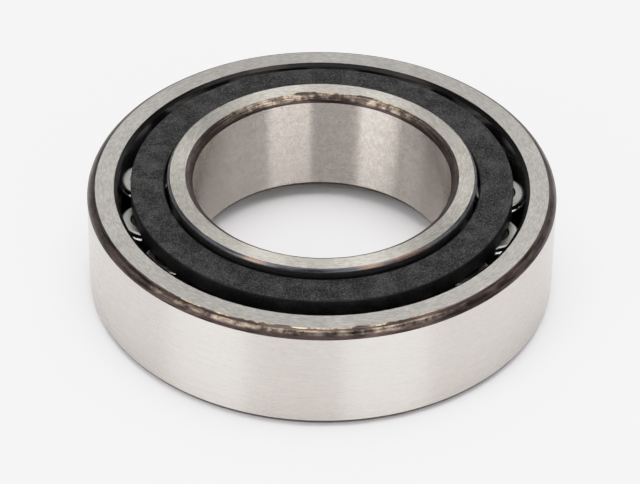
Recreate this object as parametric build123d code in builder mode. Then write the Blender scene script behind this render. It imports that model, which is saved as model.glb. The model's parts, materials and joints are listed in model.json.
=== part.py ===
"""Toroidal roller bearing, 55 x 100 x 25 mm: two rings, a one-piece cage and its rollers.

The frame is the outer ring's: +Z runs along the bearing's axis, and the origin is the centre of
the outer ring's lower face. The inner ring stands AXIAL_SHIFT above the outer ring, which the
concave raceways allow. The cage and the rollers then move by half as much, and each roller leans
inward at its top until it lies square between the two raceways.
"""

import os
from math import atan2, cos, radians, sin, sqrt

from build123d import *

# Rings
BORE_DIAMETER = 55.0
OUTSIDE_DIAMETER = 100.0
RING_WIDTH = 25.0
AXIAL_SHIFT = 2.65
CORNER = 1.75  # outer corners of the outer ring, along each face
CORNER_RADIUS = 2.7
BORE_CORNER = 1.6  # bore corners of the inner ring, along each face
BORE_CORNER_RADIUS = 2.5
OUTER_FACE_INNER_DIAMETER = 88.54
INNER_FACE_OUTER_DIAMETER = 64.68
RACEWAY_EDGE_DEPTH = 0.6  # depth of the chamfer between a raceway and a side face

# Raceways and rollers
OUTER_RACEWAY_DIAMETER = 88.5  # largest diameter, at the middle of the ring
ROLLER_DIAMETER = 12.0  # largest diameter, at the middle of the roller
ROLLER_LENGTH = 15.6
ROLLER_COUNT = 17
FIRST_ROLLER_ANGLE = -18.1
RADIAL_CLEARANCE = 0.1
RACEWAY_PROFILE_RADIUS = 86.0
ROLLER_PROFILE_RADIUS = 84.0
ROLLER_END_ROUNDING = 0.75
RECESS_DIAMETER = 6.8
RECESS_FLOOR_DIAMETER = 6.3
RECESS_DEPTH = 0.3

# Cage
CAGE_WIDTH = 24.0
CAGE_OUTSIDE_DIAMETER = 81.4
CAGE_BORE_DIAMETER = 67.0
CAGE_OUTER_EDGE = 0.25
CAGE_INNER_EDGE = 0.45
POCKET_PLAY = 0.25
POCKET_END_ROUNDING = 0.4

half_width = RING_WIDTH / 2
race_half_width = half_width - RACEWAY_EDGE_DEPTH
outer_race_radius = OUTER_RACEWAY_DIAMETER / 2
inner_race_radius = outer_race_radius - ROLLER_DIAMETER - RADIAL_CLEARANCE

# A roller's centre is halfway between the centres of the two raceways' profile arcs, and its
# axis is square to the line that joins them.
pitch_radius = (outer_race_radius + inner_race_radius) / 2
profile_centre_distance = 2 * RACEWAY_PROFILE_RADIUS - (outer_race_radius - inner_race_radius)
roller_lean = atan2(AXIAL_SHIFT, profile_centre_distance)
outer_ring_middle = half_width
inner_ring_middle = half_width + AXIAL_SHIFT
cage_middle = half_width + AXIAL_SHIFT / 2


def bow(radius, half_chord):
    """Return how far an arc of this radius rises over the middle of its chord."""
    return radius - sqrt(radius**2 - half_chord**2)


def section_plane(middle_height):
    """Return the XZ plane, moved up so that its local Y is measured from a ring's middle."""
    return Plane.XZ.shift_origin((0, 0, middle_height))


def roller_seat(number):
    """Return the plane at a roller's centre, with X outward and Z along the roller's axis."""
    around = radians(FIRST_ROLLER_ANGLE + (number - 1) * 360 / ROLLER_COUNT)
    outward = Vector(cos(around), sin(around), 0)
    roller_axis = Vector(0, 0, cos(roller_lean)) - outward * sin(roller_lean)
    return Plane(
        origin=outward * pitch_radius + Vector(0, 0, cage_middle),
        x_dir=outward * cos(roller_lean) + Vector(0, 0, sin(roller_lean)),
        z_dir=roller_axis,
    )


race_bow = bow(RACEWAY_PROFILE_RADIUS, race_half_width)

with BuildPart() as outer_ring:
    with BuildSketch(section_plane(outer_ring_middle)):
        with BuildLine():
            race_end = (outer_race_radius - race_bow, race_half_width)
            face_start = (OUTER_FACE_INNER_DIAMETER / 2, half_width)
            face_end = (OUTSIDE_DIAMETER / 2 - CORNER, half_width)
            corner_end = (OUTSIDE_DIAMETER / 2, half_width - CORNER)
            Polyline(race_end, face_start, face_end)
            RadiusArc(face_end, corner_end, CORNER_RADIUS)
            mirror(about=Plane.XZ)
            ThreePointArc(race_end, (outer_race_radius, 0), (race_end[0], -race_end[1]))
            Line(corner_end, (corner_end[0], -corner_end[1]))
        make_face()
    revolve(axis=Axis.Z)

with BuildPart() as inner_ring:
    with BuildSketch(section_plane(inner_ring_middle)):
        with BuildLine():
            race_end = (inner_race_radius + race_bow, race_half_width)
            face_start = (INNER_FACE_OUTER_DIAMETER / 2, half_width)
            face_end = (BORE_DIAMETER / 2 + BORE_CORNER, half_width)
            corner_end = (BORE_DIAMETER / 2, half_width - BORE_CORNER)
            Polyline(race_end, face_start, face_end)
            RadiusArc(face_end, corner_end, -BORE_CORNER_RADIUS)
            mirror(about=Plane.XZ)
            ThreePointArc(race_end, (inner_race_radius, 0), (race_end[0], -race_end[1]))
            Line(corner_end, (corner_end[0], -corner_end[1]))
        make_face()
    revolve(axis=Axis.Z)

# The space that one roller's pocket leaves free, about its own centre
with BuildPart() as pocket:
    Cylinder(ROLLER_DIAMETER / 2 + POCKET_PLAY, ROLLER_LENGTH + 2 * POCKET_PLAY)
    fillet(pocket.edges().filter_by(GeomType.CIRCLE), POCKET_END_ROUNDING)

with BuildPart() as cage:
    with BuildSketch(Plane.XY.offset(cage_middle - CAGE_WIDTH / 2)):
        Circle(CAGE_OUTSIDE_DIAMETER / 2)
        Circle(CAGE_BORE_DIAMETER / 2, mode=Mode.SUBTRACT)
    extrude(amount=CAGE_WIDTH)
    rims = cage.edges().filter_by(GeomType.CIRCLE).sort_by(SortBy.RADIUS)
    fillet(rims[:2], CAGE_INNER_EDGE)
    chamfer(rims[2:], CAGE_OUTER_EDGE)
    with Locations((0, 0, cage_middle)):
        with PolarLocations(pitch_radius, ROLLER_COUNT, start_angle=FIRST_ROLLER_ANGLE):
            add(pocket.part, mode=Mode.SUBTRACT)

# One roller about its own centre, with its axis on Z
with BuildPart() as roller_blank:
    with BuildSketch(Plane.XZ) as section:
        with BuildLine():
            crown_end = (
                ROLLER_DIAMETER / 2 - bow(ROLLER_PROFILE_RADIUS, ROLLER_LENGTH / 2),
                ROLLER_LENGTH / 2,
            )
            floor_height = ROLLER_LENGTH / 2 - RECESS_DEPTH
            Polyline(
                crown_end,
                (RECESS_DIAMETER / 2, ROLLER_LENGTH / 2),
                (RECESS_FLOOR_DIAMETER / 2, floor_height),
                (0, floor_height),
            )
            mirror(about=Plane.XZ)
            ThreePointArc(crown_end, (ROLLER_DIAMETER / 2, 0), (crown_end[0], -crown_end[1]))
            Line((0, floor_height), (0, -floor_height))
        make_face()
        fillet(section.vertices().group_by(Axis.X)[-1], ROLLER_END_ROUNDING)
    revolve(axis=Axis.Z)

os.makedirs("parts", exist_ok=True)

outer_ring.part.label = "outer_ring"
export_step(outer_ring.part, "parts/outer_ring.step")
inner_ring.part.label = "inner_ring"
export_step(inner_ring.part, "parts/inner_ring.step")
cage.part.label = "cage"
export_step(cage.part, "parts/cage.step")

for number in range(1, ROLLER_COUNT + 1):
    with BuildPart(roller_seat(number)) as roller:
        add(roller_blank.part)
    roller.part.label = f"roller_{number:02d}"
    export_step(roller.part, f"parts/roller_{number:02d}.step")
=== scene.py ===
"""Looks of a toroidal roller bearing: turned rings, crowned rollers and a moulded window cage."""

import json
import math
import random

import bmesh
import bpy
from mathutils import Matrix, Vector


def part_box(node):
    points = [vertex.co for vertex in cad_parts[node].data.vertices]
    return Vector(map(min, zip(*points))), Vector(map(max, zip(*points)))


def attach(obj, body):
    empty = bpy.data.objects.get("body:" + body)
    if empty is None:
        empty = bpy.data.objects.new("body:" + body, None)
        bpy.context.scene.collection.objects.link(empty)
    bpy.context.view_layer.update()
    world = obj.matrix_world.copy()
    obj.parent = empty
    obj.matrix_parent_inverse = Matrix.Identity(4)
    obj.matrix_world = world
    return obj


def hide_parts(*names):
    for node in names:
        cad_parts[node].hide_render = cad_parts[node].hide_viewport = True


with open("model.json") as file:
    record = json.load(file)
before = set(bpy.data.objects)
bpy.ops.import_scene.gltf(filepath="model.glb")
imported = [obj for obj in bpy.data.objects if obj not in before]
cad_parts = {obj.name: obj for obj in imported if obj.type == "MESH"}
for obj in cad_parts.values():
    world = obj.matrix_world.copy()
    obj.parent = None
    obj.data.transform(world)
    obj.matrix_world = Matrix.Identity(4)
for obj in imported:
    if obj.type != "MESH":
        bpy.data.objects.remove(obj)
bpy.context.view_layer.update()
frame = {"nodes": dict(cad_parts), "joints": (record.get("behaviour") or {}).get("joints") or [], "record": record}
mm = 0.001

# ---------------------------------------------------------------- sizes, in metres
mounts = {mount["name"]: mount for mount in frame["record"]["mounts"]}
joints = {joint["child"]: joint for joint in frame["joints"]}
roller_names = sorted(name for name in frame["nodes"] if name.startswith("roller_"))

BORE_RADIUS = mounts["shaft_bore"]["dims"]["r_mm"] * mm
OUTSIDE_RADIUS = mounts["housing_seat"]["dims"]["r_mm"] * mm
OUTER_LOW, OUTER_HIGH = (corner.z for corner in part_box("outer_ring"))
INNER_LOW, INNER_HIGH = (corner.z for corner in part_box("inner_ring"))
CAGE_LOW, CAGE_HIGH = (corner.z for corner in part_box("cage"))
CAGE_OUTER_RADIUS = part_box("cage")[1].x

# Rings: their corners, raceways and side faces, and how much their turned edges are rounded
CORNER = 1.75 * mm
CORNER_BOW = 0.31 * mm
BORE_CORNER = 1.6 * mm
BORE_CORNER_BOW = 0.27 * mm
RACE_PROFILE_RADIUS = 86 * mm
RACE_EDGE_DEPTH = 0.6 * mm
OUTER_RACE_RADIUS = 44.25 * mm
OUTER_FACE_RADIUS = 44.27 * mm
INNER_RACE_RADIUS = 32.15 * mm
INNER_FACE_RADIUS = 32.34 * mm
CHAMFER_BOW = 0.06 * mm
WALL_ROUNDING = 0.2 * mm
CORNER_ROUNDING = 0.1 * mm
FACE_ROUNDING = 0.12 * mm
OUTER_RACE_ROUNDING = 0.15 * mm
INNER_RACE_ROUNDING = 0.2 * mm
RING_STEPS = 384

# Rollers
ROLLER_RADIUS = 6.0 * mm
ROLLER_HALF_LENGTH = 7.8 * mm
ROLLER_PROFILE_RADIUS = 84 * mm
ROLLER_END_ROUNDING = 0.75 * mm
RECESS_RADIUS = 3.4 * mm
RECESS_FLOOR_RADIUS = 3.15 * mm
RECESS_DEPTH = 0.3 * mm
RECESS_ROUNDING = 0.08 * mm
RECESS_FLOOR_ROUNDING = 0.15 * mm
ROLLER_STEPS = 72

# Cage, with one sector around each pocket
first_place = Vector(joints[roller_names[0]]["pos_m"])
FIRST_ANGLE = math.atan2(first_place.y, first_place.x)
PITCH_RADIUS = math.hypot(first_place.x, first_place.y)
SECTOR = 2 * math.pi / len(roller_names)
CAGE_MIDDLE = (CAGE_LOW + CAGE_HIGH) / 2
CAGE_HALF_WIDTH = (CAGE_HIGH - CAGE_LOW) / 2
CAGE_BORE_RADIUS = 33.5 * mm
CAGE_OUTER_EDGE = 0.25 * mm
CAGE_INNER_EDGE = 0.45 * mm
POCKET_PLAY = 0.25 * mm
POCKET_RADIUS = ROLLER_RADIUS + POCKET_PLAY
POCKET_HALF_LENGTH = ROLLER_HALF_LENGTH + POCKET_PLAY
POCKET_END_ROUNDING = 0.4 * mm
WINDOW_EDGE = 0.12 * mm
STRAIGHT_STEPS = 5
ROUND_STEPS = 4
ACROSS_STEPS = 8
WEB_STEPS = 3
DEPTH_STEPS = 8
RIM_STEPS = 5
JOIN_DISTANCE = 0.002 * mm
SHARP_ANGLE = math.radians(35)

# Studio: the soft boxes' distance, the floor, and the light of a pale room that darkens upward,
# between the two heights given as the sine of the elevation
STUDIO_RADIUS = 1.2
FLOOR_RADIUS = 1.1
FLOOR_SEGMENTS = 96
HORIZON_LIGHT = 0.85
ZENITH_LIGHT = 0.03
FADE_START = 0.25
FADE_END = 0.85

# Camera: its place and aim in metres, its focal length and sensor in millimetres, and its roll
CAMERA_PLACE = (0, -0.56066, 0.45311)
CAMERA_AIM = (-0.00026, 0, 0.00894)
CAMERA_LENS = 186.47
CAMERA_SENSOR = 36.0
CAMERA_ROLL = math.radians(0.79)

# Tone curve: where its shoulder starts, how bright it gets, and the light at which it ends
SHOULDER_START = 0.6
SHOULDER_TOP = 0.94
SHOULDER_END = 4.0
SHOULDER_STEPS = 12

# Colours, linear
OUTSIDE_WALL_STEEL = (0.515, 0.487, 0.452)
BORE_WALL_STEEL = (0.48, 0.44, 0.401)
OUTER_FACE_STEEL = (0.315, 0.302, 0.281)
INNER_FACE_STEEL = (0.385, 0.367, 0.332)
RACEWAY_STEEL = (0.26, 0.255, 0.255)
ROLLER_STEEL = (0.34, 0.335, 0.33)
ROLLER_END_STEEL = (0.2, 0.197, 0.186)
RECESS_DARK = (0.022, 0.0215, 0.017)
RECESS_PALE = (0.055, 0.054, 0.044)
OXIDE_DARK = (0.02, 0.0145, 0.014)
OXIDE_PALE = (0.07, 0.052, 0.047)
# painted highlight: the bronze and gilt below are laid on the corners' crest on one side of each ring only, in
# place of reflected light
BRONZE_HIGHLIGHT_DARK = (0.11, 0.084, 0.066)
BRONZE_HIGHLIGHT_PALE = (0.44, 0.355, 0.275)
OXIDE_RIM = (0.05, 0.04, 0.035)
GILT_HIGHLIGHT_RIM = (0.6, 0.45, 0.28)
BLACK_SCALE = (0.018, 0.017, 0.017)
BLACK_SCALE_REDDISH = (0.026, 0.021, 0.02)
BLUED_SCALE = (0.13, 0.128, 0.14)
BLUED_SCALE_REDDISH = (0.26, 0.178, 0.142)
CAGE_DARK = (0.002, 0.002, 0.002)
CAGE_PALE = (0.06, 0.0577, 0.0572)
FLOOR_WHITE = (0.86, 0.845, 0.865)


# ---------------------------------------------------------------- outlines
def bow(radius, half_chord):
    """How far an arc of this radius rises over the middle of its chord."""
    return radius - math.sqrt(radius ** 2 - half_chord ** 2)


def arc_points(start, end, rise, count):
    """Points from start to end along an arc that rises to the left of its chord (start included)."""
    (r0, z0), (r1, z1) = start, end
    if rise == 0:
        return [start]
    half = math.hypot(r1 - r0, z1 - z0) / 2
    radius = (half ** 2 + rise ** 2) / (2 * abs(rise))
    spread = math.asin(half / radius)
    along = Vector((r1 - r0, z1 - z0)).normalized()
    left = Vector((-along.y, along.x)) * math.copysign(1, rise)
    middle = Vector(((r0 + r1) / 2, (z0 + z1) / 2)) - left * (radius - abs(rise))
    points = [start]
    for step in range(1, count):
        turn = spread * (2 * step / count - 1)
        point = middle + along * math.sin(turn) * radius + left * math.cos(turn) * radius
        points.append((point.x, point.y))
    return points


def outline(corners, closed=True, round_steps=4, arc_steps=14):
    """Turn (radius, height, rounding, zone, rise) corners into dense points and a zone for each span.

    zone and rise describe the edge that leaves the corner. Every rounded corner gets a support
    point on each side, so that the flat next to it keeps its own normals.
    """
    coarse = []
    for index, (r, z, rounding, zone, rise) in enumerate(corners):
        if not closed and index == len(corners) - 1:
            coarse.append((Vector((r, z)), rounding, zone))
            continue
        end = corners[(index + 1) % len(corners)][:2]
        for step, point in enumerate(arc_points((r, z), end, rise, arc_steps)):
            coarse.append((Vector(point), rounding if step == 0 else 0.0, zone))
    points, zones = [], []
    for index, (point, rounding, zone) in enumerate(coarse):
        before = coarse[index - 1][0]
        after = coarse[(index + 1) % len(coarse)][0]
        zone_before = coarse[index - 1][2]
        if rounding == 0:
            points.append(point)
            zones.append(zone)
            continue
        back = (before - point).normalized()
        onward = (after - point).normalized()
        bend = math.pi - back.angle(onward)
        reach = rounding * math.tan(bend / 2)
        support = 0.4 * rounding
        curve = [point + back * (reach + support)]
        for step in range(round_steps + 1):
            t = step / round_steps
            curve.append(point + back * reach * (1 - t) ** 2 + onward * reach * t ** 2)
        curve.append(point + onward * (reach + support))
        half = len(curve) // 2
        points += curve
        zones += [zone_before] * half + [zone] * (len(curve) - half)
    return points, zones


def add_object(name, build, finishes):
    """Turn what was built into one object with these materials, and put it into the scene."""
    mesh = bpy.data.meshes.new(name)
    build.to_mesh(mesh)
    build.free()
    for material in finishes:
        mesh.materials.append(material)
    piece = bpy.data.objects.new(name, mesh)
    bpy.context.scene.collection.objects.link(piece)
    return piece


def lathe(name, corners, steps, finishes, zone_slots, closed=True):
    """Turn an outline about Z. An open outline starts and ends on the axis.

    zone_slots says which of the materials in finishes each of the outline's zones has.
    """
    points, zones = outline(corners, closed)
    on_axis = [point.x < 1e-7 for point in points]
    build = bmesh.new()
    columns = []
    for step in range(steps):
        around = 2 * math.pi * step / steps
        cosine, sine = math.cos(around), math.sin(around)
        columns.append([
            None if centred else build.verts.new((point.x * cosine, point.x * sine, point.y))
            for point, centred in zip(points, on_axis)
        ])
    poles = {i: build.verts.new((0, 0, points[i].y)) for i, centred in enumerate(on_axis) if centred}
    spans = len(points) if closed else len(points) - 1
    for step in range(steps):
        here, beyond = columns[step], columns[(step + 1) % steps]
        for i in range(spans):
            j = (i + 1) % len(points)
            # where the outline meets the axis, both columns share a pole and the face is a triangle
            quad = ((here, i), (beyond, i), (beyond, j), (here, j))
            vertices = dict.fromkeys(column[k] or poles[k] for column, k in quad)
            face = build.faces.new(list(vertices))
            face.material_index = zone_slots[zones[i]]
            face.smooth = True
    bmesh.ops.recalc_face_normals(build, faces=build.faces)
    return add_object(name, build, finishes)


# ---------------------------------------------------------------- shader helpers
class Nodes:
    """A material whose nodes are added by short calls; an input is a value or another node's output."""

    def __init__(self, name):
        self.material = bpy.data.materials.new(name)
        self.material.use_nodes = True
        self.tree = self.material.node_tree
        self.shader = self.tree.nodes["Principled BSDF"]

    def set(self, node, inputs):
        """Give a node's inputs, by name or number, their values or links."""
        for key, value in inputs.items():
            socket = node.inputs[key]
            if isinstance(value, bpy.types.NodeSocket):
                self.tree.links.new(value, socket)
            else:
                socket.default_value = value

    def add(self, kind, inputs=None, **settings):
        """Add a node of this kind, with its inputs and its own settings."""
        node = self.tree.nodes.new("ShaderNode" + kind)
        for key, value in settings.items():
            setattr(node, key, value)
        self.set(node, inputs or {})
        return node

    def math(self, operation, *values):
        """The result of a Math node."""
        node = self.add("Math", dict(enumerate(values)), operation=operation)
        return node.outputs[0]

    def vector(self, operation, *values):
        """The vector that a Vector Math node gives."""
        node = self.add("VectorMath", dict(enumerate(values)), operation=operation)
        return node.outputs[0]

    def noise(self, vector, size, detail=2.0, roughness=0.5):
        """Noise with features of about this size."""
        inputs = {"Vector": vector, "Scale": 1 / size, "Detail": detail, "Roughness": roughness}
        return self.add("TexNoise", inputs).outputs["Fac"]

    def remap(self, value, low, high, new_low=0.0, new_high=1.0, smooth=True):
        """The value carried from one range to another, eased at both ends if smooth is on."""
        kind = "SMOOTHSTEP" if smooth else "LINEAR"
        inputs = {"Value": value, "From Min": low, "From Max": high, "To Min": new_low, "To Max": new_high}
        return self.add("MapRange", inputs, interpolation_type=kind).outputs["Result"]

    def mix(self, factor, first, second):
        """What lies between two colours or values, nearer to the second as the factor grows."""
        node = self.add("Mix", data_type="RGBA")
        sockets = {"Factor": node.inputs[0], "A": node.inputs[6], "B": node.inputs[7]}
        for key, value in (("Factor", factor), ("A", first), ("B", second)):
            if isinstance(value, bpy.types.NodeSocket):
                self.tree.links.new(value, sockets[key])
            else:
                sockets[key].default_value = value
        return node.outputs[2]

    def bump(self, height, distance, normal=None):
        """The normal of a surface that stands out by up to this distance where the height is 1."""
        inputs = {"Height": height, "Distance": distance, "Strength": 1.0}
        if normal is not None:
            inputs["Normal"] = normal
        return self.add("Bump", inputs).outputs["Normal"]

    def position(self):
        """The piece's own coordinates."""
        return self.add("TexCoord").outputs["Object"]

    def place(self):
        """The coordinates, the distance from the axis, the direction around it and the height."""
        position = self.position()
        flat = self.vector("MULTIPLY", position, (1, 1, 0))
        radius = self.add("VectorMath", {0: flat}, operation="LENGTH").outputs["Value"]
        around = self.vector("NORMALIZE", flat)
        height = self.add("SeparateXYZ", {0: position}).outputs["Z"]
        return position, radius, around, height

    def streaks(self, around, circle, length, across, width, detail=2.0):
        """Noise drawn out around the axis: marks of this length on a circle, and of this width across."""
        stretch = {0: around, "Scale": circle / length}
        spread = self.add("VectorMath", stretch, operation="SCALE").outputs[0]
        rise = self.add("CombineXYZ", {"Z": self.math("DIVIDE", across, width)}).outputs[0]
        return self.noise(self.vector("ADD", spread, rise), 1.0, detail, 0.6)

    def scratched(self, position, slope):
        """The surface's normal, tilted up or down at random as on the sides of fine level scratches."""
        chance = self.add("TexWhiteNoise", {"Vector": position}).outputs["Value"]
        lean = self.remap(chance, 0, 1, -slope, slope, smooth=False)
        tilt = self.add("CombineXYZ", {"Z": lean}).outputs[0]
        normal = self.add("NewGeometry").outputs["Normal"]
        return self.vector("NORMALIZE", self.vector("ADD", normal, tilt))

    def grooves(self, anisotropy, run_around=True):
        """Grooves, around the axis or across it, smear reflections at right angles to themselves."""
        self.set(self.shader, {
            "Anisotropic": anisotropy,
            "Anisotropic Rotation": 0.25 if run_around else 0.0,
            "Tangent": self.add("Tangent", direction_type="RADIAL", axis="Z").outputs[0],
        })


def rgb(red, green, blue):
    """Linear colour with full opacity."""
    return (red, green, blue, 1.0)


def tint(colour, factor):
    """The colour made lighter or darker, with full opacity."""
    return rgb(*[min(1.0, channel * factor) for channel in colour])


# ---------------------------------------------------------------- materials
def ground_wall(name, colour, circle, roughness, smear, mottle):
    """A cylindrical wall ground round and round, whose level scratches smear light up and down.

    The scratches' sides lean by up to the slope smear, each at random, and mottle sets the light and
    dark parts of the grain further apart.
    """
    g = Nodes(name)
    position, _, around, height = g.place()
    fine = g.streaks(around, circle, 7 * mm, height, 0.13 * mm)
    broad = g.streaks(around, circle, 24 * mm, height, 0.9 * mm)
    tone = g.math("ADD", g.remap(fine, 0.3, 0.7, 0, 0.6), g.remap(broad, 0.3, 0.7, 0, 0.4))
    grain = g.remap(g.noise(position, 0.8 * mm, 4.0, 0.75), 0.36, 0.64)
    shade = g.mix(0.6, tone, grain)
    dark, pale = tint(colour, 0.955 - mottle), tint(colour, 1.035 + mottle)
    g.set(g.shader, {
        "Base Color": g.mix(shade, dark, pale),
        "Metallic": 1.0,
        "Roughness": g.remap(tone, 0, 1, roughness - 0.02, roughness + 0.03),
        "Normal": g.bump(fine, 0.0005 * mm, normal=g.scratched(position, smear)),
    })
    g.grooves(1.0)
    return g.material


def ground_face(
    name, colour, circle, oxide_edge, oxide_side, crest_start, highlight_side, highlight_from, anisotropy, run_around,
):
    """A side face with a fine crossed grain, and the heat-tinted corner that it runs into.

    The corner starts near the radius oxide_edge, outside it (side 1) or inside it (side -1). It is
    almost black with its own oxide, and carries a painted highlight in bronze and gilt along its crest
    on the side that the vector highlight_side points to. The crest starts crest_start millimetres past
    the edge, and the painted highlight where the cosine of the angle from highlight_side is highlight_from.
    """
    crest_end = 1.45
    full_highlight = 0.92
    g = Nodes(name)
    position, radius, around, height = g.place()
    hatch = []
    for lean in (0.5, -0.5):
        turn = g.math("MULTIPLY", radius, lean / (10 * mm))
        turned = g.add("VectorRotate", {"Vector": around, "Angle": turn}, rotation_type="Z_AXIS").outputs[0]
        hatch.append(g.streaks(turned, circle, 1.3 * mm, radius, 0.26 * mm, 3.0))
    grain = g.math("MAXIMUM", *hatch)
    cloud = g.noise(position, 4 * mm, 3.0, 0.6)
    tone = g.math("ADD", g.remap(grain, 0.42, 0.72, 0, 0.8), g.remap(cloud, 0.3, 0.7, 0.0, 0.2))
    bright = g.mix(tone, tint(colour, 0.72), tint(colour, 1.16))

    wave = g.noise(position, 7 * mm, 3.0, 0.55)
    past_edge = g.math("MULTIPLY", g.math("SUBTRACT", radius, oxide_edge), oxide_side / mm)
    across = g.math("ADD", radius, height)
    marks = g.remap(g.streaks(around, circle, 6 * mm, across, 0.2 * mm, 3.0), 0.36, 0.66)
    # painted highlight: from here the bronze on the corner's crest grows toward one side of the ring, in place of
    # reflected light; the near-black oxide is the steel's own
    toward = {0: around, 1: (*highlight_side, 0)}
    facing = g.add("VectorMath", toward, operation="DOT_PRODUCT").outputs["Value"]
    highlight = g.remap(facing, highlight_from, full_highlight, 0.07, 1.0)
    waviness = g.math("MULTIPLY", g.remap(wave, 0.45, 0.65, 0.0, 0.5), highlight)
    reach = g.math("ADD", past_edge, waviness)
    inner_side = g.remap(past_edge, crest_start, crest_start + 0.4)
    crest = g.math("MULTIPLY", inner_side, g.remap(past_edge, crest_end, crest_end - 0.4))
    flecks = g.noise(position, 2.2 * mm, 4.0, 0.7)
    bronze_highlight_amount = g.math("MULTIPLY", g.math("MULTIPLY", crest, highlight), g.remap(flecks, 0.4, 0.6, 0.08, 1.0))
    oxide = g.mix(marks, rgb(*OXIDE_DARK), rgb(*OXIDE_PALE))
    bronze_highlight = g.mix(marks, rgb(*BRONZE_HIGHLIGHT_DARK), rgb(*BRONZE_HIGHLIGHT_PALE))
    # painted highlight: gilt on the rim, on the same side only
    gilt_highlight = g.math("MULTIPLY", g.math("MULTIPLY", highlight, marks), g.remap(flecks, 0.4, 0.6))
    rim = g.mix(gilt_highlight, rgb(*OXIDE_RIM), rgb(*GILT_HIGHLIGHT_RIM))
    deep = g.mix(g.remap(reach, 0.16, 0.36), rim, g.mix(bronze_highlight_amount, oxide, bronze_highlight))
    covered = g.remap(reach, 0.0, 0.06)
    smoothed = g.math("MULTIPLY", covered, -0.1)
    g.set(g.shader, {
        "Base Color": g.mix(covered, bright, deep),
        "Metallic": 1.0,
        "Roughness": g.math("ADD", g.remap(grain, 0.4, 0.75, 0.44, 0.36), smoothed),
        "Normal": g.bump(grain, 0.002 * mm),
    })
    g.grooves(anisotropy, run_around)
    return g.material


def scaled_edge(name, pale, reddish):
    """The narrow chamfers beside the raceways, with marks and reddish stains left by heat treatment."""
    g = Nodes(name)
    position, radius, around, height = g.place()
    streaks = g.streaks(around, 40 * mm, 6 * mm, g.math("ADD", radius, height), 0.2 * mm, 3.0)
    stains = g.noise(position, 12 * mm)
    plain = g.mix(streaks, tint(pale, 0.2), rgb(*pale))
    stained = g.mix(streaks, tint(reddish, 0.4), rgb(*reddish))
    g.set(g.shader, {
        "Base Color": g.mix(g.remap(stains, 0.5, 0.62), plain, stained),
        "Metallic": 1.0,
        "Roughness": g.remap(streaks, 0.3, 0.7, 0.22, 0.32),
    })
    g.grooves(0.5)
    return g.material


def honed(name, colour, circle, roughness):
    """Raceways and roller walls, finished almost to a mirror, with faint lines around them."""
    g = Nodes(name)
    _, _, around, height = g.place()
    lines = g.streaks(around, circle, 8 * mm, height, 0.09 * mm)
    g.set(g.shader, {
        "Base Color": g.mix(lines, tint(colour, 0.9), rgb(*colour)),
        "Metallic": 1.0,
        "Roughness": g.remap(lines, 0.3, 0.7, roughness - 0.02, roughness + 0.04),
        "Normal": g.bump(lines, 0.0002 * mm),
    })
    g.grooves(0.5)
    return g.material


def roller_end(name, colour):
    """The roller's ground end, with rings around its centre, and its unground recess."""
    g = Nodes(name)
    position, radius, around, _ = g.place()
    rings = g.streaks(around, 4 * mm, 3 * mm, radius, 0.11 * mm)
    specks = g.noise(position, 0.3 * mm, 2.0, 0.6)
    steel = g.mix(rings, tint(colour, 0.88), rgb(*colour))
    pitted = g.mix(g.remap(specks, 0.62, 0.7), steel, tint(colour, 0.55))
    rough_floor = g.mix(specks, rgb(*RECESS_DARK), rgb(*RECESS_PALE))
    in_recess = g.remap(radius, RECESS_RADIUS, RECESS_RADIUS - 0.1 * mm)
    roughened = g.math("MULTIPLY", in_recess, 0.1)
    g.set(g.shader, {
        "Base Color": g.mix(in_recess, pitted, rough_floor),
        "Metallic": 1.0,
        "Roughness": g.math("ADD", g.remap(rings, 0.3, 0.7, 0.26, 0.34), roughened),
        "Normal": g.bump(rings, 0.0008 * mm),
    })
    g.grooves(0.5)
    return g.material


def moulded_plastic(name, low, high, roughness, relief):
    """Black plastic filled with short glass fibres, which glint as pale specks on the skin."""
    g = Nodes(name)
    position = g.position()
    specks = g.noise(position, 0.32 * mm, 3.0, 0.8)
    clouds = g.noise(position, 5 * mm, 4.0, 0.65)
    tone = g.math("ADD", g.remap(specks, 0.5, 0.64, 0, 0.75), g.remap(clouds, 0.42, 0.62, 0, 0.25))
    g.set(g.shader, {
        "Base Color": g.mix(tone, rgb(*low), rgb(*high)),
        "Roughness": g.remap(specks, 0.35, 0.75, roughness + 0.08, roughness - 0.12),
        "Specular IOR Level": 0.14,
        "Normal": g.bump(specks, relief),
    })
    return g.material


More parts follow.
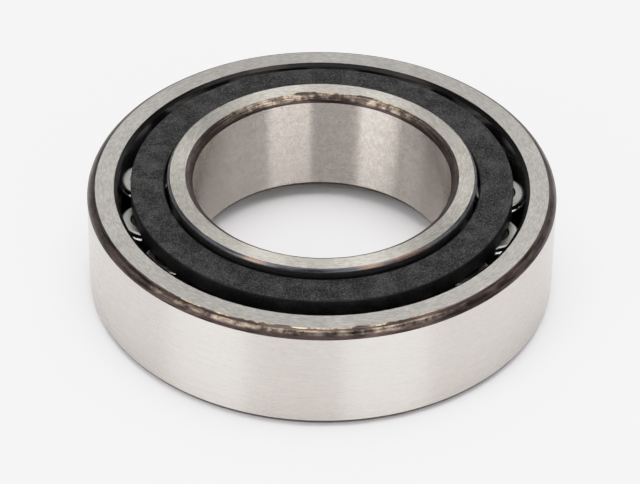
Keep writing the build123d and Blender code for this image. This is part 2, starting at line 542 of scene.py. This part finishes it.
materials = {
    "outer_wall": ground_wall(
        "steel_outside_wall", OUTSIDE_WALL_STEEL, OUTSIDE_RADIUS, roughness=0.28, smear=0.0, mottle=0.0,
    ),
    "inner_wall": ground_wall(
        "steel_bore_wall", BORE_WALL_STEEL, BORE_RADIUS, roughness=0.22, smear=1.0, mottle=0.12,
    ),
    # the outer face's corner gets its painted highlight toward the front, the inner face's toward the back
    "outer_face": ground_face(
        "steel_outer_face", OUTER_FACE_STEEL, circle=46 * mm, oxide_edge=OUTSIDE_RADIUS - CORNER,
        oxide_side=1, crest_start=0.45, highlight_side=(-0.1, -0.995), highlight_from=0.7, anisotropy=0.6,
        run_around=False,
    ),
    "inner_face": ground_face(
        "steel_inner_face", INNER_FACE_STEEL, circle=31 * mm, oxide_edge=BORE_RADIUS + BORE_CORNER,
        oxide_side=-1, crest_start=0.1, highlight_side=(0.05, 0.999), highlight_from=0.55, anisotropy=1.0,
        run_around=True,
    ),
    "outer_edge": scaled_edge("steel_black_chamfer", BLACK_SCALE, BLACK_SCALE_REDDISH),
    "inner_edge": scaled_edge("steel_blued_chamfer", BLUED_SCALE, BLUED_SCALE_REDDISH),
    "race": honed("steel_honed_raceway", RACEWAY_STEEL, OUTER_RACE_RADIUS, roughness=0.27),
    "roller": honed("steel_roller_wall", ROLLER_STEEL, ROLLER_RADIUS, roughness=0.12),
    "end": roller_end("steel_roller_end", ROLLER_END_STEEL),
    "cage_top": moulded_plastic("plastic_textured", CAGE_DARK, CAGE_PALE, 0.6, 0.06 * mm),
    # painted shade: the cage's sides and pockets are the same plastic with its pale colour darkened to 0.3,
    # besides a smoother finish
    "cage_side_shaded": moulded_plastic("plastic_smooth_shaded", CAGE_DARK, tint(CAGE_PALE, 0.3)[:3], 0.4, 0.006 * mm),
}


# ---------------------------------------------------------------- rings
def outer_ring_corners():
    """Section of the outer ring, from the raceway's lower end upward and around."""
    race_half = (OUTER_HIGH - OUTER_LOW) / 2 - RACE_EDGE_DEPTH
    race_rise = bow(RACE_PROFILE_RADIUS, race_half)
    race_end = OUTER_RACE_RADIUS - race_rise
    return [
        (race_end, OUTER_LOW + RACE_EDGE_DEPTH, OUTER_RACE_ROUNDING, "race", -race_rise),
        (race_end, OUTER_HIGH - RACE_EDGE_DEPTH, OUTER_RACE_ROUNDING, "edge", 0),
        (OUTER_FACE_RADIUS, OUTER_HIGH, FACE_ROUNDING, "face", 0),
        (OUTSIDE_RADIUS - CORNER, OUTER_HIGH, CORNER_ROUNDING, "face", CORNER_BOW),
        (OUTSIDE_RADIUS, OUTER_HIGH - CORNER, WALL_ROUNDING, "wall", 0),
        (OUTSIDE_RADIUS, OUTER_LOW + CORNER, WALL_ROUNDING, "face", CORNER_BOW),
        (OUTSIDE_RADIUS - CORNER, OUTER_LOW, CORNER_ROUNDING, "face", 0),
        (OUTER_FACE_RADIUS, OUTER_LOW, FACE_ROUNDING, "edge", 0),
    ]


def inner_ring_corners():
    """Section of the inner ring, from the bore's lower end upward and around."""
    race_half = (INNER_HIGH - INNER_LOW) / 2 - RACE_EDGE_DEPTH
    race_rise = bow(RACE_PROFILE_RADIUS, race_half)
    race_end = INNER_RACE_RADIUS + race_rise
    return [
        (BORE_RADIUS, INNER_LOW + BORE_CORNER, WALL_ROUNDING, "wall", 0),
        (BORE_RADIUS, INNER_HIGH - BORE_CORNER, WALL_ROUNDING, "face", BORE_CORNER_BOW),
        (BORE_RADIUS + BORE_CORNER, INNER_HIGH, CORNER_ROUNDING, "face", 0),
        (INNER_FACE_RADIUS, INNER_HIGH, FACE_ROUNDING, "edge", CHAMFER_BOW),
        (race_end, INNER_HIGH - RACE_EDGE_DEPTH, INNER_RACE_ROUNDING, "race", -race_rise),
        (race_end, INNER_LOW + RACE_EDGE_DEPTH, INNER_RACE_ROUNDING, "edge", CHAMFER_BOW),
        (INNER_FACE_RADIUS, INNER_LOW, FACE_ROUNDING, "face", 0),
        (BORE_RADIUS + BORE_CORNER, INNER_LOW, CORNER_ROUNDING, "face", BORE_CORNER_BOW),
    ]


def make_ring(side, corners):
    """The outer or the inner ring, turned from its section, that stands for its CAD node."""
    name = side + "_ring"
    finishes = [materials[key] for key in (side + "_wall", side + "_face", side + "_edge", "race")]
    zone_slots = {"wall": 0, "face": 1, "edge": 2, "race": 3}
    piece = lathe(name + "_turned", corners, RING_STEPS, finishes, zone_slots)
    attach(piece, name)
    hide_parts(name)


# ---------------------------------------------------------------- rollers
def roller_corners():
    """Half section of a roller about its own centre, from the lower end's centre to the upper one's."""
    rise = bow(ROLLER_PROFILE_RADIUS, ROLLER_HALF_LENGTH)
    edge = ROLLER_RADIUS - rise
    top, floor = ROLLER_HALF_LENGTH, ROLLER_HALF_LENGTH - RECESS_DEPTH
    return [
        (0, -floor, 0, "end", 0),
        (RECESS_FLOOR_RADIUS, -floor, RECESS_FLOOR_ROUNDING, "end", 0),
        (RECESS_RADIUS, -top, RECESS_ROUNDING, "end", 0),
        (edge, -top, ROLLER_END_ROUNDING, "wall", rise),
        (edge, top, ROLLER_END_ROUNDING, "end", 0),
        (RECESS_RADIUS, top, RECESS_ROUNDING, "end", 0),
        (RECESS_FLOOR_RADIUS, floor, RECESS_FLOOR_ROUNDING, "end", 0),
        (0, floor, 0, "end", 0),
    ]


def make_rollers():
    """The crowned rollers, each at its joint's place with its axis on the joint's axis."""
    chance = random.Random(17)
    corners = roller_corners()
    finishes = (materials["roller"], materials["end"])
    zone_slots = {"wall": 0, "end": 1}
    for name in roller_names:
        joint = joints[name]
        piece = lathe(name + "_crowned", corners, ROLLER_STEPS, finishes, zone_slots, closed=False)
        tilt = Vector((0, 0, 1)).rotation_difference(Vector(joint["axis"])).to_matrix().to_4x4()
        spin = Matrix.Rotation(chance.uniform(0, 2 * math.pi), 4, "Z")
        piece.matrix_world = Matrix.Translation(joint["pos_m"]) @ tilt @ spin
        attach(piece, name)
        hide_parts(name)


# ---------------------------------------------------------------- cage
def pocket_profile():
    """The pocket's side, from its lower end to its upper one, with rounded ends.

    Each point is a distance from the roller's axis and a height from the cage's middle.
    """
    straight = POCKET_HALF_LENGTH - POCKET_END_ROUNDING
    side = [(POCKET_RADIUS, straight * step / STRAIGHT_STEPS) for step in range(STRAIGHT_STEPS)]
    for step in range(ROUND_STEPS + 1):
        turn = math.pi / 2 * step / ROUND_STEPS
        side.append((
            POCKET_RADIUS - POCKET_END_ROUNDING * (1 - math.cos(turn)),
            POCKET_HALF_LENGTH - POCKET_END_ROUNDING * (1 - math.sin(turn)),
        ))
    return [(reach, -height) for reach, height in reversed(side[1:])] + side


def close_loop(right):
    """Complete a loop of (angle, height) points from its right side: over the top, down and back."""
    wide, top = right[-1]
    over = [(wide * (1 - 2 * step / ACROSS_STEPS), top) for step in range(1, ACROSS_STEPS)]
    left = [(-angle, height) for angle, height in reversed(right)]
    under = [(-angle, -height) for angle, height in over]
    return right + over + left + under


def pocket_window(radius, grow):
    """The pocket's closed edge at this distance from the bearing's axis, made larger by grow."""
    right = []
    for reach, height in pocket_profile():
        cosine = (PITCH_RADIUS ** 2 + radius ** 2 - (reach + grow) ** 2) / (2 * PITCH_RADIUS * radius)
        at_end = abs(height) > POCKET_HALF_LENGTH / 2
        right.append((math.acos(cosine), height + math.copysign(grow, height) * at_end))
    return close_loop(right)


def sector_border(top):
    """The sector's own edge, with a point for each point of the window."""
    steps = len(pocket_profile()) - 1
    return close_loop([(SECTOR / 2, top * (2 * step / steps - 1)) for step in range(steps + 1)])


def blend(first_loop, last_loop):
    """The loops that lead evenly from one loop to the other."""
    return [
        [
            (a0 + (a1 - a0) * step / WEB_STEPS, z0 + (z1 - z0) * step / WEB_STEPS)
            for (a0, z0), (a1, z1) in zip(first_loop, last_loop)
        ]
        for step in range(1, WEB_STEPS)
    ]


def sector_loops():
    """The loops over the outer wall, through the pocket and over the bore's wall.

    Each is a distance from the bearing's axis and the loop's points.
    """
    outer_border = sector_border(CAGE_HALF_WIDTH - CAGE_OUTER_EDGE)
    outer_window = pocket_window(CAGE_OUTER_RADIUS, WINDOW_EDGE)
    inner_window = pocket_window(CAGE_BORE_RADIUS, WINDOW_EDGE)
    inner_border = sector_border(CAGE_HALF_WIDTH - CAGE_INNER_EDGE)
    outer_wall = [outer_border, *blend(outer_border, outer_window), outer_window]
    bore_wall = [inner_window, *blend(inner_window, inner_border), inner_border]
    inward = CAGE_BORE_RADIUS - CAGE_OUTER_RADIUS + 2 * WINDOW_EDGE
    loops = [(CAGE_OUTER_RADIUS, loop) for loop in outer_wall]
    for step in range(DEPTH_STEPS + 1):
        radius = CAGE_OUTER_RADIUS - WINDOW_EDGE + inward * step / DEPTH_STEPS
        loops.append((radius, pocket_window(radius, 0)))
    return loops + [(CAGE_BORE_RADIUS, loop) for loop in bore_wall]


def end_rim():
    """The (radius, height) points over an end ring: a softened chamfer, the face and a rounded edge."""
    face_start = CAGE_OUTER_RADIUS - CAGE_OUTER_EDGE
    face_width = face_start - CAGE_BORE_RADIUS - CAGE_INNER_EDGE
    rim = [
        (CAGE_OUTER_RADIUS, CAGE_HALF_WIDTH - CAGE_OUTER_EDGE),
        (CAGE_OUTER_RADIUS - 0.04 * mm, CAGE_HALF_WIDTH - CAGE_OUTER_EDGE + 0.1 * mm),
        (face_start + 0.1 * mm, CAGE_HALF_WIDTH - 0.03 * mm),
        (face_start, CAGE_HALF_WIDTH),
    ]
    rim += [(face_start - face_width * part, CAGE_HALF_WIDTH) for part in (0.04, 0.35, 0.65, 0.96)]
    for step in range(RIM_STEPS + 1):
        turn = math.pi / 2 * step / RIM_STEPS
        rim.append((
            CAGE_BORE_RADIUS + CAGE_INNER_EDGE * (1 - math.sin(turn)),
            CAGE_HALF_WIDTH - CAGE_INNER_EDGE * (1 - math.cos(turn)),
        ))
    return rim


def make_cage():
    """The one-piece cage: one sector around each pocket, repeated and joined."""
    loops, rim = sector_loops(), end_rim()
    spread = [SECTOR / 2 * (1 - 2 * step / ACROSS_STEPS) for step in range(ACROSS_STEPS + 1)]
    build = bmesh.new()

    def corner(radius, angle, height):
        place = (radius * math.cos(angle), radius * math.sin(angle), height + CAGE_MIDDLE)
        return build.verts.new(place)

    for number in range(len(roller_names)):
        turn = FIRST_ANGLE + number * SECTOR
        rows = [[corner(radius, turn + angle, z) for angle, z in loop] for radius, loop in loops]
        for above, below in zip(rows, rows[1:]):
            for i in range(len(above)):
                j = (i + 1) % len(above)
                build.faces.new((above[i], above[j], below[j], below[i]))
        for sign in (1, -1):
            strips = [[corner(radius, turn + angle, sign * z) for angle in spread] for radius, z in rim]
            for above, below in zip(strips, strips[1:]):
                for i in range(ACROSS_STEPS):
                    build.faces.new((above[i], above[i + 1], below[i + 1], below[i]))
    bmesh.ops.remove_doubles(build, verts=build.verts, dist=JOIN_DISTANCE)
    bmesh.ops.recalc_face_normals(build, faces=build.faces)

    # only the level faces of the two end rings are textured; every other face gets the smooth finish with painted
    # shade
    for face in build.faces:
        face.smooth = True
        from_middle = abs(face.calc_center_median().z - CAGE_MIDDLE)
        beyond_pockets = from_middle > POCKET_HALF_LENGTH + POCKET_END_ROUNDING
        face.material_index = 0 if beyond_pockets and abs(face.normal.z) > 0.9 else 1
    for edge in build.edges:
        edge.smooth = len(edge.link_faces) == 2 and edge.calc_face_angle() < SHARP_ANGLE
    piece = add_object("cage_moulded", build, (materials["cage_top"], materials["cage_side_shaded"]))
    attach(piece, "cage")
    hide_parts("cage")


# ---------------------------------------------------------------- studio
def make_floor():
    """A pale round floor under the bearing; beyond it the room is as pale as the floor."""
    g = Nodes("studio_floor")
    g.set(g.shader, {"Base Color": rgb(*FLOOR_WHITE), "Roughness": 0.85, "Specular IOR Level": 0.2})
    build = bmesh.new()
    bmesh.ops.create_circle(build, cap_ends=True, segments=FLOOR_SEGMENTS, radius=FLOOR_RADIUS)
    floor = add_object("floor", build, [g.material])


def make_softbox(name, azimuth, elevation, width, height, radiance, upright=False):
    """A soft panel STUDIO_RADIUS away, which faces the bearing or stands upright.

    azimuth and elevation say, in degrees, in which direction it is.
    """
    light = bpy.data.lights.new(name, "AREA")
    light.shape = "RECTANGLE"
    light.size, light.size_y = width, height
    light.energy = radiance * math.pi * width * height
    lamp = bpy.data.objects.new(name, light)
    bpy.context.scene.collection.objects.link(lamp)
    around, up = math.radians(azimuth), math.radians(elevation)
    level = Vector((math.cos(around), math.sin(around), 0))
    offset = level * math.cos(up) + Vector((0, 0, math.sin(up)))
    lamp.location = offset * STUDIO_RADIUS
    lamp.rotation_euler = (-level if upright else -offset).to_track_quat("-Z", "Y").to_euler()


def make_studio():
    """Nine soft boxes in a room that is as pale as the floor low down, and dark above.

    Two tall boxes are beside the camera, one on each side of the bearing, one high on the right,
    three behind it and one overhead.
    """
    make_softbox("left_front_box", -140.5, 40, 0.60, 1.5, 3.2, upright=True)
    make_softbox("right_front_box", -61, 27, 0.72, 1.1, 2.8, upright=True)
    make_softbox("right_high_box", -18, 60, 0.60, 0.60, 1.8)
    make_softbox("right_box", 5, 38, 0.50, 0.40, 1.4)
    make_softbox("left_box", 180, 38, 0.50, 0.40, 1.4)
    make_softbox("back_right_box", 60, 34, 0.62, 0.52, 1.6)
    make_softbox("back_box", 90, 40.5, 0.50, 0.28, 2.4)
    make_softbox("back_left_box", 120, 49, 0.50, 0.38, 1.5)
    make_softbox("overhead_box", 90, 86, 1.3, 1.1, 3.4)
    world = bpy.data.worlds.new("studio")
    bpy.context.scene.world = world
    world.use_nodes = True
    tree = world.node_tree
    direction = tree.nodes.new("ShaderNodeTexCoord").outputs["Generated"]
    split = tree.nodes.new("ShaderNodeSeparateXYZ")
    fade = tree.nodes.new("ShaderNodeMapRange")
    fade.interpolation_type = "SMOOTHSTEP"
    fade.inputs["From Min"].default_value = FADE_START
    fade.inputs["From Max"].default_value = FADE_END
    fade.inputs["To Min"].default_value = HORIZON_LIGHT
    fade.inputs["To Max"].default_value = ZENITH_LIGHT
    tree.links.new(direction, split.inputs[0])
    tree.links.new(split.outputs["Z"], fade.inputs["Value"])
    tree.links.new(fade.outputs["Result"], tree.nodes["Background"].inputs["Strength"])
    tree.nodes["Background"].inputs["Color"].default_value = rgb(1, 1, 1)


def make_tone_curve():
    """A film-like shoulder, so that the pale floor is bright without burning out."""
    view = bpy.context.scene.view_settings
    view.view_transform = "Standard"
    view.use_curve_mapping = True
    mapping = view.curve_mapping
    mapping.use_clip = True
    mapping.clip_max_x, mapping.clip_max_y = SHOULDER_END, 1.0
    curve = mapping.curves[3]
    curve.points[0].location = (0, 0)
    curve.points[1].location = (SHOULDER_END, SHOULDER_TOP)
    room = SHOULDER_TOP - SHOULDER_START
    for step in range(SHOULDER_STEPS):
        bright = SHOULDER_START * (SHOULDER_END / SHOULDER_START) ** (step / SHOULDER_STEPS)
        curve.points.new(bright, SHOULDER_START + room * (1 - math.exp(-(bright - SHOULDER_START) / room)))
    mapping.update()


def make_camera():
    """The camera looks down at about 38 degrees from the front through a long lens."""
    data = bpy.data.cameras.new("camera")
    data.lens = CAMERA_LENS
    data.sensor_width = CAMERA_SENSOR
    data.clip_start = 0.05
    camera = bpy.data.objects.new("camera", data)
    bpy.context.scene.collection.objects.link(camera)
    camera.location = CAMERA_PLACE
    look = (Vector(CAMERA_AIM) - camera.location).to_track_quat("-Z", "Y").to_matrix().to_4x4()
    roll = Matrix.Rotation(CAMERA_ROLL, 4, "Z")
    camera.matrix_world = Matrix.Translation(camera.location) @ look @ roll
    bpy.context.scene.camera = camera


make_ring("outer", outer_ring_corners())
make_ring("inner", inner_ring_corners())
make_rollers()
make_cage()
make_floor()
make_studio()
make_camera()
make_tone_curve()
